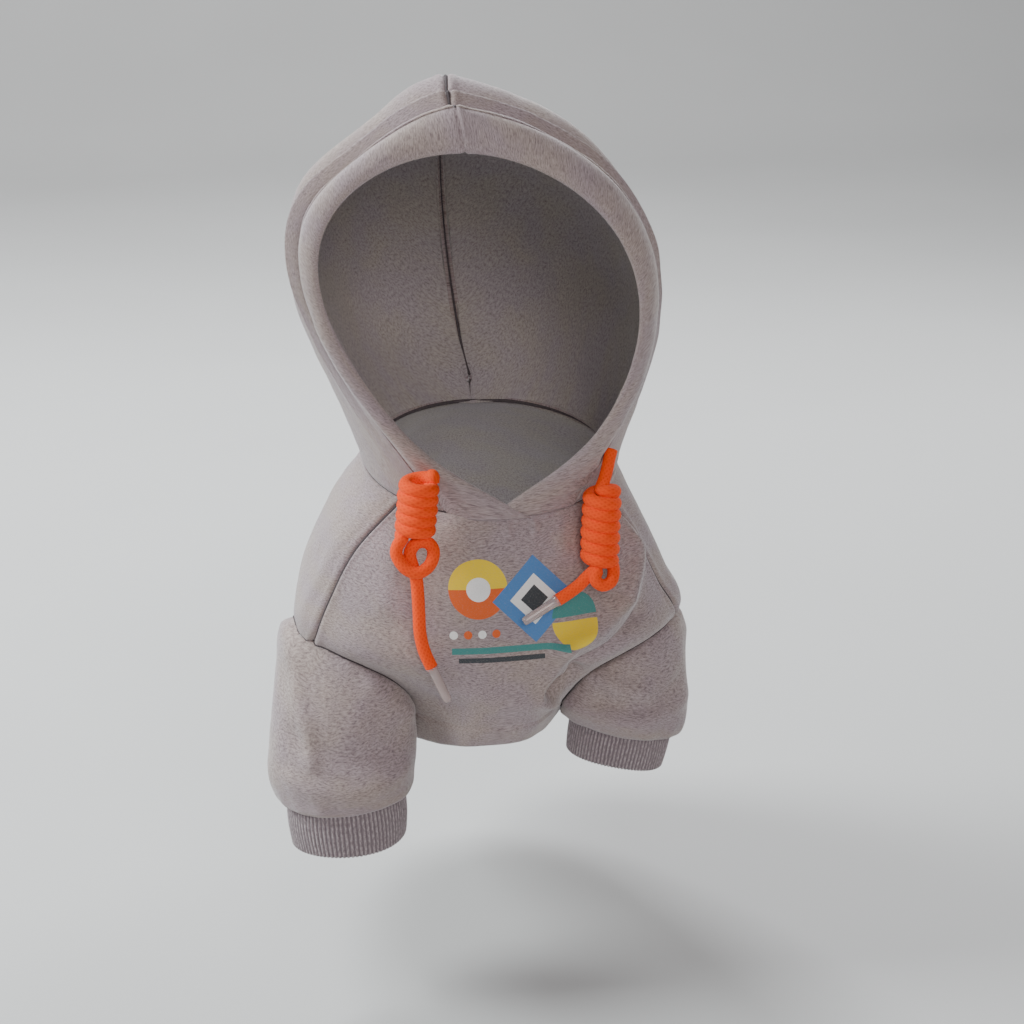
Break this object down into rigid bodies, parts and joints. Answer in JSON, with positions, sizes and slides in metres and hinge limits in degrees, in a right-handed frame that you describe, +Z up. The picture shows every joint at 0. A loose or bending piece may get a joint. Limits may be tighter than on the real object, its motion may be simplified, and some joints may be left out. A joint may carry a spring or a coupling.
{
  "type": "small dog's hooded sweatshirt",
  "caption": "Hooded sweatshirt for a small dog, hood up, with short front-leg sleeves, ribbed cuffs and knotted drawcord ends",
  "frame": {"origin": "middle of the neck opening, where the garment hangs on its wearer's neck", "axes": "+Z up along the hood, -Y out of the face opening and the chest, +X to the right as seen from the front"},
  "size_m": [0.2075, 0.2348, 0.3543],
  "materials": {
    "marl_fleece": "matt grey marl sweatshirt fleece",
    "marl_rib": "darker grey marl one-by-one rib",
    "orange_cord": "matt knitted orange cord",
    "clear_plastic": "clear film over the cord's end"
  },
  "bodies": {
    "root": {"chest_panel": "marl_fleece", "back_panel": "marl_fleece", "sleeve_left": "marl_fleece", "sleeve_right": "marl_fleece", "cuff_left": "marl_rib", "cuff_right": "marl_rib", "hood_left": "marl_fleece", "hood_right": "marl_fleece", "hood_brim": "marl_fleece", "drawcord_left": "orange_cord", "drawcord_right": "orange_cord", "knot_left": "orange_cord", "knot_right": "orange_cord", "cord_tail_left": "orange_cord", "cord_tail_right": "orange_cord", "aglet_left": "clear_plastic", "aglet_right": "clear_plastic"}
  },
  "joints": []
}
